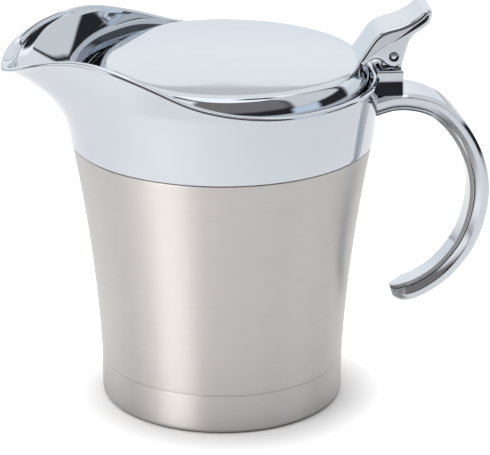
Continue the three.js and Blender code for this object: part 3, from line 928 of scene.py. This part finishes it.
def leverWidth(x):
    foot = 1 - softStep(x, pinX - 14.5, pinX - 6.5)
    width = lerp(lever["halfWidth"], lever["footHalfWidth"], foot)
    beyond = max(0.0, x - pinX - lever["padReach"]) / lever["padRound"]
    return width * math.sqrt(max(0.04, 1 - 0.8 * beyond ** 2)) / lever["halfWidth"]


def makeLever():
    outline = leverOutline()
    half, edge = lever["halfWidth"], lever["edge"]
    rows = [(-half, edge + 0.25)]
    for k in range(9):
        turn = math.radians(90 * k / 8)
        rows.append((-half + edge * (1 - math.cos(turn)), edge * (1 - math.sin(turn))))
    rows += [(y, 0) for y in (-4.5, 0, 4.5)]
    rows += [(-y, inset) for y, inset in reversed(rows[:10])]
    loops = []
    for y, inset in rows:
        loop = drawnIn(outline, inset) if inset > 1e-6 else outline
        loops.append([(p[0], y * leverWidth(p[0]), p[1]) for p in loop])
    verts, faces = lofted(loops)
    piece = pieceFrom("thumbLever", verts, faces, finishes["plating"],
                      "lid", ["lid_cover"])
    cutBy(piece, leverPocket(), roundBar(lever["pinHole"], -13, 13))


# Room for the post's knuckle under the lever.
def leverPocket():
    half = post["knuckleHalfWidth"] + 0.4
    front, back = -post["knuckleRadius"] - 0.8, post["knuckleRadius"] + 1.2
    outline = [(front, -9), (15, -9), (15, 4.6), (back, 4.6), (1, 7.4), (-3, 6.2), (front, 4.6)]
    loops = [[(pinX + x, y, pinZ + z) for x, z in outline] for y in (-half, half)]
    verts, faces = lofted(loops)
    return pieceFrom("pocket", verts, faces, finishes["plating"], None, [])


pin = {
    "radius": 1.2,
    "turns": 40,
}


def makePin():
    radius, half, turns = pin["radius"], pinHigh[1], pin["turns"]
    profile = [(0, -half), (0.55, -half + 0.03), (0.98, -half + 0.2), (radius, -half + 0.5),
               (radius, half - 0.5), (0.98, half - 0.2), (0.55, half - 0.03), (0, half)]
    verts, faces = [], []
    for i in range(turns):
        angle = 2 * math.pi * i / turns
        verts += [(pinX + r * math.cos(angle), y, pinZ + r * math.sin(angle)) for r, y in profile]
    for i in range(turns):
        a, b = i * len(profile), (i + 1) % turns * len(profile)
        faces += [(a + j, b + j, b + j + 1, a + j + 1) for j in range(len(profile) - 1)]
    pieceFrom("hingePin", verts, faces, finishes["pinSteel"],
              "lid", ["hinge_pin"])


plate = {
    "inset": 2.3,
    "thickness": 1.2,
    "ribRadii": (0.35, 0.66),   # shares of the way to the edge
    "ribDepth": 0.25,
}


def makePlate():
    foot = lid["edgeFoot"] + 0.3
    top = foot + plate["thickness"]

    def profile(degrees):
        edge = lidEdge(degrees) - plate["inset"]
        points = [(0, foot)]
        for k in range(1, 60):
            share = k / 60
            press = sum(math.exp(-((share - r) / 0.018) ** 2) for r in plate["ribRadii"])
            points.append((share * (edge - 0.4), foot + plate["ribDepth"] * press))
        points += [(edge - 0.4, foot), (edge - 0.1, foot + 0.1), (edge, foot + 0.4),
                   (edge, top - 0.1), (edge - 0.1, top), (0, top)]
        return points

    verts, faces = spun(profile, 160, False)
    pieceFrom("lidPlate", verts, faces, finishes["lidInside"],
              "lid", ["lid_plate"], 60)


verts, faces = spun(lidProfile, lid["turns"], False)
pieceFrom("lidDome", verts, faces, finishes["plating"], "lid", ["lid_cover"], 44)
makeLever()
makePin()
makePlate()
print("lid made")

# pieces that keep their frame shape

kept = {
    "liner_gasket": "seal",
    "lock_ring": "ringPlastic",
    "handle_screw_1": "pinSteel",
    "handle_screw_2": "pinSteel",
}
for node, finish in kept.items():
    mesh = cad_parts[node].data
    mesh.materials.clear()
    mesh.materials.append(finishes[finish])
print("kept pieces finished")

# floor, light and camera

studio = {
    "floorSize": 6.0,
    "floorTone": (0.93, 0.93, 0.935),
    "floorReflected": 0.66,
    "turn": math.radians(-5),      # the camera's heading
    "room": (0.03, 0.03, 0.034),
    "backdrop": (0.25, 0.235, 0.23),
    "haze": (0.94, 0.985, 1.03),
    "bluePanel": (0.76, 0.88, 1.04),
    "tent": (0.985, 0.995, 1.01),
    "tentLevel": 1.15,
    "panel": (1.0, 0.99, 0.975),
    # behind the vessel, by rise in degrees: haze low down, a dimmer band, brighter cloth above it
    "behind": (-0.15, -0.35),
    "hazeRise": (4, 20),
    "clothRise": (30, 32),
    "clothLevel": 1.1,
    "bandRise": (26.8, 31.2, 0.8),
    "bandLevel": 0.76,
    "topRise": (56, 64),
    "topLevel": 1.45,
    # heading and rise in degrees, each as from, to and softness, then tone and level
    "zones": [
        ((-98, 112, 3), (-2, 60, 4), "room", 1.0),
        ((-62, 56, 6), (22, 56, 4), "backdrop", 1.0),
        ((85, 160, 6), (68, 82, 3), "room", 1.0),
        ((-80, -44, 5), (0, 50, 5), "panel", 1.2),
        ((59, 106, 3), (17, 66, 2), "tent", 0.9),
        ((56, 80, 3), (-2, 17, 2), "bluePanel", 1.0),
    ],
}


def makeFloor():
    half = studio["floorSize"] / 2
    mesh = bpy.data.meshes.new("floor")
    steps = 8
    verts = [(lerp(-half, half, i / steps), lerp(-half, half, j / steps), 0)
             for i in range(steps + 1) for j in range(steps + 1)]
    faces = [(i * 9 + j, (i + 1) * 9 + j, (i + 1) * 9 + j + 1, i * 9 + j + 1)
             for i in range(steps) for j in range(steps)]
    mesh.from_pydata(verts, [], faces)
    material, tree, shader, place = startMaterial("paper", studio["floorTone"], 0.9, 0.0)
    fibre = tree.nodes.new("ShaderNodeTexNoise")
    fibre.inputs["Scale"].default_value = 900
    tree.links.new(place, fibre.inputs["Vector"])
    tone = studio["floorTone"]
    # the paper mirrors softer in the plating than it shows to the camera
    seen = tree.nodes.new("ShaderNodeLightPath")
    share = rangeNode(tree, seen.outputs["Is Camera Ray"], 0, 1,
                      studio["floorReflected"], 1.0, "LINEAR")
    grain = rangeNode(tree, fibre.outputs["Fac"], 0, 1, 0.99, 1.0, "LINEAR")
    level = mathNode(tree, "MULTIPLY", share, grain)
    scaled = tree.nodes.new("ShaderNodeVectorMath")
    scaled.operation = "SCALE"
    scaled.inputs[0].default_value = tone
    tree.links.new(level, scaled.inputs["Scale"])
    tree.links.new(scaled.outputs[0], shader.inputs["Base Color"])
    shader.inputs["Specular IOR Level"].default_value = 0.1
    mesh.materials.append(material)
    floor = bpy.data.objects.new("floor", mesh)
    floor.location = (0, 0, -0.0003)
    bpy.context.scene.collection.objects.link(floor)


# Light tent: bright above and behind, a darker room in front with a lighter middle,
# a soft panel at its left, and a tall and a low one at its right.
def makeWorld():
    world = bpy.data.worlds.new("tent")
    bpy.context.scene.world = world
    world.use_nodes = True
    tree = world.node_tree
    tree.nodes.clear()
    place = tree.nodes.new("ShaderNodeTexCoord")
    split = tree.nodes.new("ShaderNodeSeparateXYZ")
    tree.links.new(place.outputs["Generated"], split.inputs[0])
    x, y, z = split.outputs
    turn = studio["turn"]
    ahead = mathNode(tree, "ADD", mathNode(tree, "MULTIPLY", x, math.sin(turn)),
                     mathNode(tree, "MULTIPLY", y, -math.cos(turn)))
    side = mathNode(tree, "ADD", mathNode(tree, "MULTIPLY", x, math.cos(turn)),
                    mathNode(tree, "MULTIPLY", y, math.sin(turn)))
    heading = mathNode(tree, "MULTIPLY", mathNode(tree, "ARCTAN2", side, ahead), 180 / math.pi)
    rise = mathNode(tree, "MULTIPLY", mathNode(tree, "ARCSINE", z), 180 / math.pi)

    def window(value, low, high, soft):
        into = rangeNode(tree, value, low - soft, low + soft, 0.0, 1.0)
        away = rangeNode(tree, value, high - soft, high + soft, 1.0, 0.0)
        return mathNode(tree, "MULTIPLY", into, away)

    def times(first, second):
        return mathNode(tree, "MULTIPLY", first, second)

    def layered(below, amount, color, level):
        node = tree.nodes.new("ShaderNodeMix")
        node.data_type = "RGBA"
        tree.links.new(amount, node.inputs[0])
        if isinstance(below, tuple):
            node.inputs[6].default_value = below
        else:
            tree.links.new(below, node.inputs[6])
        node.inputs[7].default_value = (*[v * level for v in color], 1)
        return node.outputs[2]

    tent = (*[v * studio["tentLevel"] for v in studio["tent"]], 1)
    behind = rangeNode(tree, ahead, *studio["behind"], 0.0, 1.0)
    haze = times(rangeNode(tree, rise, *studio["hazeRise"], 1.0, 0.0), behind)
    color = layered(tent, haze, studio["haze"], 1.0)
    cloth = times(rangeNode(tree, rise, *studio["clothRise"], 0.0, 1.0), behind)
    color = layered(color, cloth, studio["tent"], studio["clothLevel"])
    band = times(window(rise, *studio["bandRise"]), behind)
    color = layered(color, band, studio["tent"], studio["bandLevel"])
    top = rangeNode(tree, rise, *studio["topRise"], 0.0, 1.0)
    color = layered(color, top, studio["tent"], studio["topLevel"])
    for headings, rises, tone, level in studio["zones"]:
        inside = times(window(heading, *headings), window(rise, *rises))
        color = layered(color, inside, studio[tone], level)
    seen = tree.nodes.new("ShaderNodeLightPath")
    color = layered(color, seen.outputs["Is Camera Ray"], (1.0, 1.0, 1.0), 1.0)
    background = tree.nodes.new("ShaderNodeBackground")
    tree.links.new(color, background.inputs["Color"])
    out = tree.nodes.new("ShaderNodeOutputWorld")
    tree.links.new(background.outputs[0], out.inputs["Surface"])


# Area lamp pointing down, or level when given a heading.
def areaLamp(name, place, width, height, watts, heading=None):
    lamp = bpy.data.lights.new(name, "AREA")
    lamp.shape = "RECTANGLE" if heading is not None else "ELLIPSE"
    lamp.size = width
    lamp.size_y = height
    lamp.energy = watts
    lamp.color = (1.0, 0.995, 0.985)
    holder = bpy.data.objects.new(name, lamp)
    holder.location = place
    if heading is not None:
        holder.rotation_euler = (math.radians(90), 0, heading)
    else:
        holder.visible_glossy = False
    bpy.context.scene.collection.objects.link(holder)
    return holder


def collectionOf(name, pieces):
    made = bpy.data.collections.new(name)
    for piece in pieces:
        made.objects.link(bpy.data.objects[piece])
    return made


def around(heading, distance, height):
    return math.sin(heading) * distance, -math.cos(heading) * distance, height


# place, width, height and watts, and the heading of the ones that stand upright
lamps = {
    "overhead": ((-0.15, 0.1, 1.3), 1.1, 1.1, 4.0),
    "strip": (around(math.radians(-45), 1, 0.36), 0.55, 1.0, 6.8, math.radians(-45)),
    "front": (around(math.radians(12), 1, 0.22), 1.2, 1.0, 2.5, math.radians(12)),
    "above": ((0.02, 0.05, 1.1), 0.4, 0.4, 8.6),
    "path": (around(math.radians(-45), 0.25, 0.22), 0.15, 0.15, 0.2),
}


def makeLamps():
    steel = collectionOf("steelPieces", ("steelShell", "steelBase"))
    paper = collectionOf("paperPieces", ("floor",))
    holders = {name: areaLamp(name, *values) for name, values in lamps.items()}
    # a strip at the left and a wide soft one in front, which only the brushed steel catches
    for name in ("strip", "front"):
        holders[name].light_linking.receiver_collection = steel
    # one from above and one low at the front left, which only the paper catches
    for name in ("above", "path"):
        holders[name].light_linking.receiver_collection = paper
    holders["above"].light_linking.blocker_collection = steel


camera = {
    "place": (-0.075, -0.857, 0.3867),
    "tilt": math.radians(69.3),
    "lens": 186.35,
    "shiftX": 0.04694,
}


def makeCamera():
    data = bpy.data.cameras.new("camera")
    data.lens = camera["lens"]
    data.sensor_width = 36
    data.shift_x = camera["shiftX"]
    data.clip_start = 0.05
    data.clip_end = 20
    holder = bpy.data.objects.new("camera", data)
    holder.location = camera["place"]
    holder.rotation_euler = (camera["tilt"], 0, studio["turn"])
    bpy.context.scene.collection.objects.link(holder)
    bpy.context.scene.camera = holder


makeFloor()
makeWorld()
makeLamps()
makeCamera()
bpy.context.scene.view_settings.view_transform = "Standard"
bpy.context.scene.view_settings.look = "None"
print("stage made")
